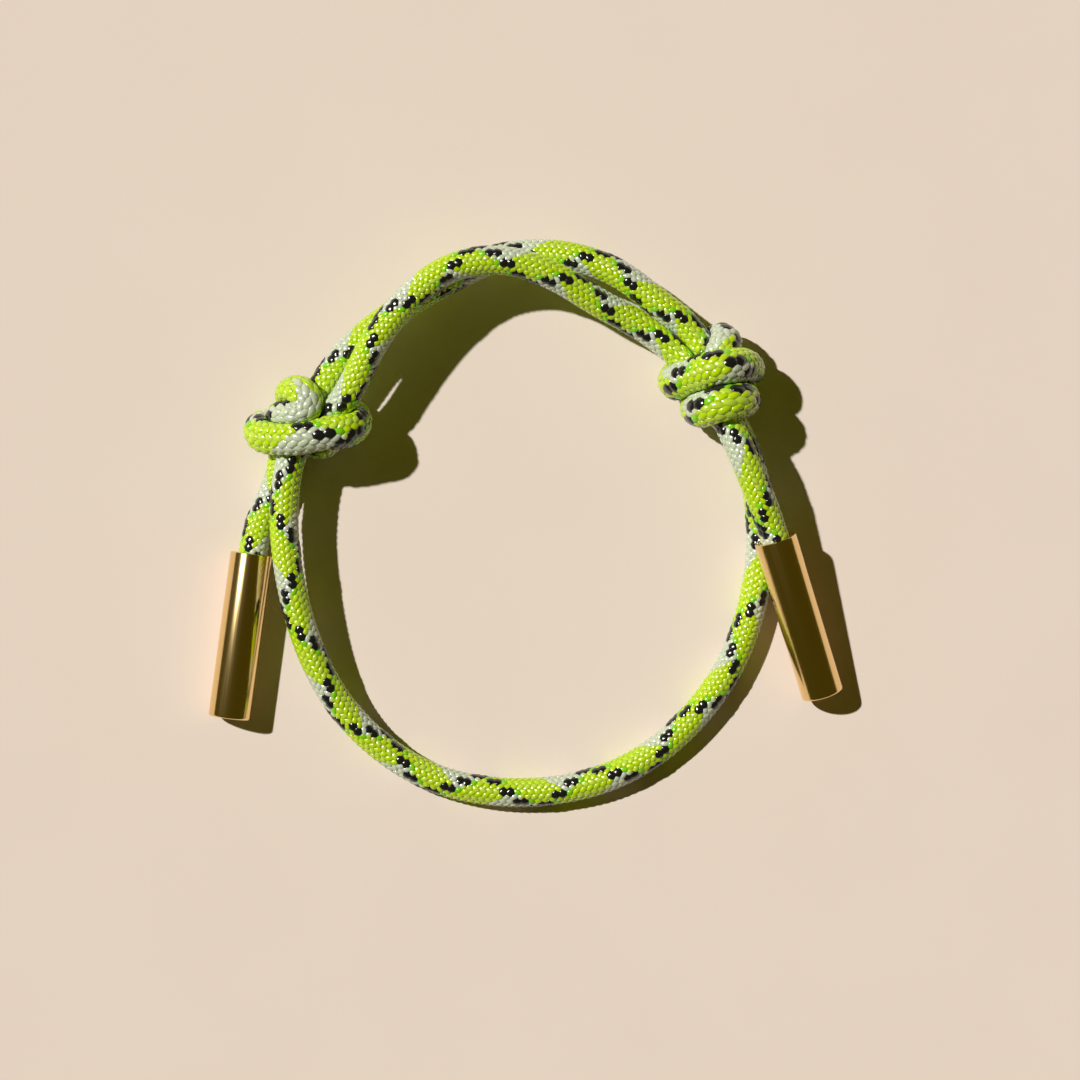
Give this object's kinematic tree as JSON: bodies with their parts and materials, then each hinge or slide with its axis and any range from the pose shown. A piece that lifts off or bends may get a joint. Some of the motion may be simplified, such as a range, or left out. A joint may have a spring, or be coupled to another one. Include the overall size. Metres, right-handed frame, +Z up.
{
  "type": "adjustable cord wristband",
  "caption": "Adjustable wristband of one braided cord whose overlapping ends are tied round each other with sliding knots, with a metal cap on each tail.",
  "frame": {"origin": "on the table, under the middle of the whole wristband's box", "axes": "+Z up from the table, +Y towards the overlap of the two cord ends, +X towards the right knot"},
  "size_m": [0.0865, 0.0774, 0.0116],
  "materials": {
    "braided_cord": "woven nylon, lime with a pale grey stripe and two black tracers",
    "core_yarn": "twisted white nylon",
    "gold_metal": "polished gold plate, fine turning marks",
    "glue": "clear glue",
    "melted_cord": "melted nylon"
  },
  "bodies": {
    "loop": {"band_sheath": "braided_cord", "band_core_yarns": "core_yarn", "front_overlap_sheath": "braided_cord", "front_overlap_core_yarns": "core_yarn", "back_overlap_sheath": "braided_cord", "back_overlap_core_yarns": "core_yarn"},
    "left_slider": {"left_knot": "braided_cord", "left_tail_sheath": "braided_cord", "left_tail_core_yarns": "core_yarn", "left_end_cap": "gold_metal", "left_cap_adhesive": "glue", "left_fused_tip": "melted_cord"},
    "right_slider": {"right_knot": "braided_cord", "right_tail_sheath": "braided_cord", "right_tail_core_yarns": "core_yarn", "right_end_cap": "gold_metal", "right_cap_adhesive": "glue", "right_fused_tip": "melted_cord"}
  },
  "joints": [
    {"name": "left_knot_slide", "type": "hinge", "parent": "loop", "child": "left_slider", "pos_m": [0.0005, 0.0016, 0.006], "axis": [0, 0, 1], "range_deg": [-15, 15], "deforming": ["band_sheath", "band_core_yarns", "front_overlap_sheath", "front_overlap_core_yarns", "back_overlap_sheath", "back_overlap_core_yarns"]},
    {"name": "right_knot_slide", "type": "hinge", "parent": "loop", "child": "right_slider", "pos_m": [-0.0044, -0.0034, 0.006], "axis": [0, 0, -1], "range_deg": [-15, 15], "deforming": ["band_sheath", "band_core_yarns", "front_overlap_sheath", "front_overlap_core_yarns", "back_overlap_sheath", "back_overlap_core_yarns"]}
  ]
}
